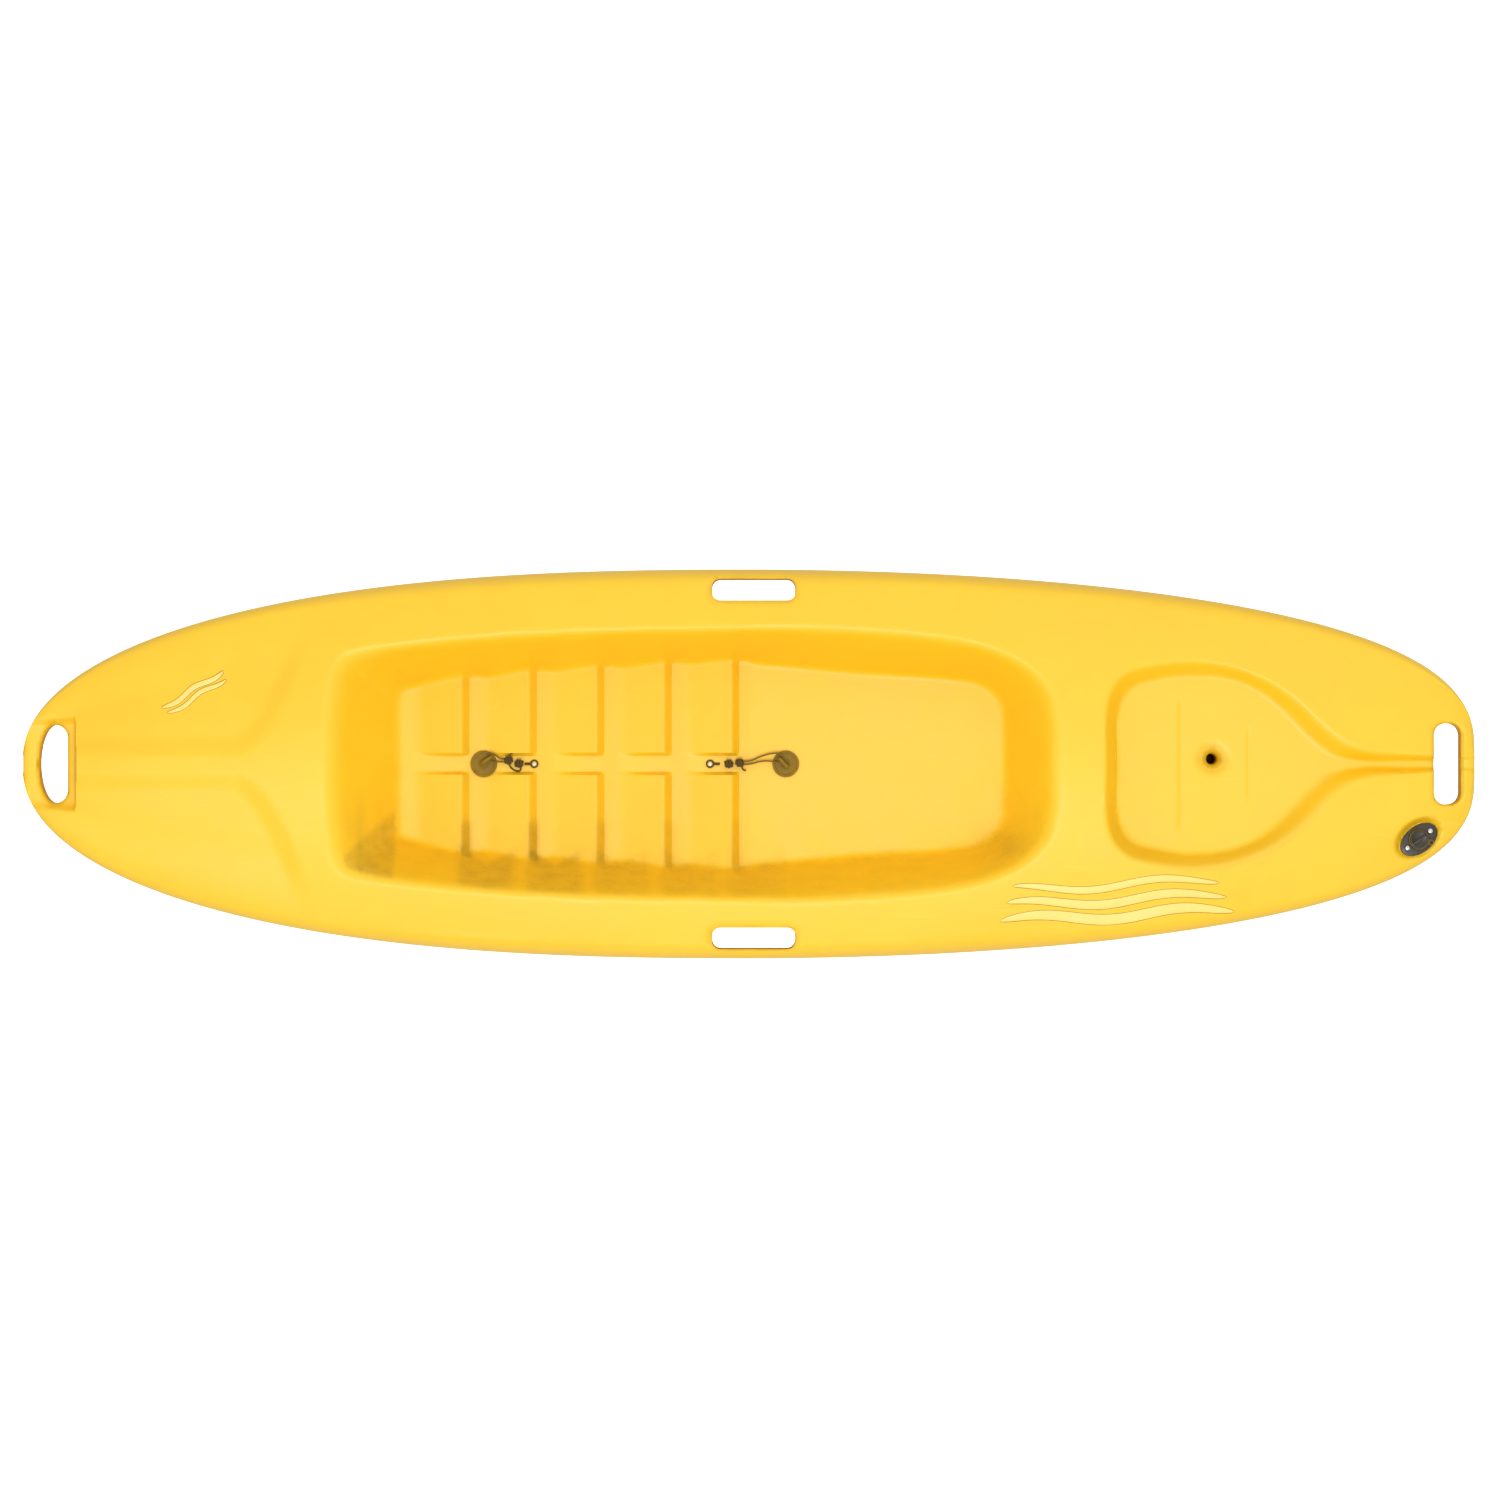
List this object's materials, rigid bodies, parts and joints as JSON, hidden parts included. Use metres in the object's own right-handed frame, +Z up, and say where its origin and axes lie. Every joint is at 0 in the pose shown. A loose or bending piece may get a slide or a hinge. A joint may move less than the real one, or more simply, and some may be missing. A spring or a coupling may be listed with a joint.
{
  "type": "sit-on-top kayak",
  "caption": "Small one-person sit-on-top kayak: moulded hull with stepped foot well, seat pan, rear tank well, hand slots, tethered scupper bungs and a screw-in drain plug.",
  "frame": {"origin": "middle of the kayak in plan, on the surface that its keel rails rest on", "axes": "+X to the bow, +Y to port, +Z up"},
  "size_m": [2, 0.5362, 0.2028],
  "materials": {
    "moulding": "satin yellow polyethylene",
    "foam": "matte closed-cell foam",
    "bung_rubber": "matte",
    "cord": "matte braid",
    "eyelet": "matte whipping",
    "rivet": "satin",
    "seal_rubber": "matte",
    "drain_plastic": "satin",
    "screw_steel": "polished",
    "leash_rubber": "matte"
  },
  "bodies": {
    "hull": {"hull_bottom_port": "moulding", "hull_bottom_starboard": "moulding", "hull_side_port": "moulding", "hull_side_starboard": "moulding", "bow_shell_port": "moulding", "bow_shell_starboard": "moulding", "stern_shell_port": "moulding", "stern_shell_starboard": "moulding", "foredeck": "moulding", "side_deck_port": "moulding", "side_deck_starboard": "moulding", "aft_deck_port": "moulding", "aft_deck_starboard": "moulding", "cockpit_floor": "moulding", "cockpit_wall_port": "moulding", "cockpit_wall_starboard": "moulding", "tank_floor": "moulding", "tank_wall_port": "moulding", "tank_wall_starboard": "moulding", "foam_block_bow": "foam", "foam_block_stern": "foam", "tether_cord_front": "cord", "tether_cord_rear": "cord", "tether_knots_front": "cord", "tether_knots_rear": "cord", "tether_eyelet_front": "eyelet", "tether_eyelet_rear": "eyelet", "tether_rivet_front": "rivet", "tether_rivet_rear": "rivet", "rivet_washers": "rivet", "drain_gasket": "seal_rubber", "drain_flange": "drain_plastic", "drain_screws": "screw_steel"},
    "front_bung": {"scupper_plug_front": "bung_rubber"},
    "rear_bung": {"scupper_plug_rear": "bung_rubber"},
    "drain_lift": {"drain_o_ring": "seal_rubber", "drain_leash": "leash_rubber"},
    "drain_screw_plug": {"drain_plug": "drain_plastic"}
  },
  "joints": [
    {"name": "front_bung_pull", "type": "slide", "parent": "hull", "child": "front_bung", "axis": [0, 0, 1], "range_m": [0, 0.025], "deforming": ["tether_cord_front", "tether_knots_front"]},
    {"name": "rear_bung_pull", "type": "slide", "parent": "hull", "child": "rear_bung", "axis": [0, 0, 1], "range_m": [0, 0.025], "deforming": ["tether_cord_rear", "tether_knots_rear"]},
    {"name": "drain_plug_lift", "type": "slide", "parent": "hull", "child": "drain_lift", "axis": [0, 0, 1], "range_m": [0, 0.012]},
    {"name": "drain_plug_turn", "type": "hinge", "parent": "drain_lift", "child": "drain_screw_plug", "pos_m": [-0.923, 0.104, 0.141], "axis": [0, 0, 1], "range_deg": [0, 1442]}
  ],
  "couplings": [
    {"joint": "drain_plug_turn", "follows": "drain_plug_lift", "rad_per_m": 2094.4}
  ]
}
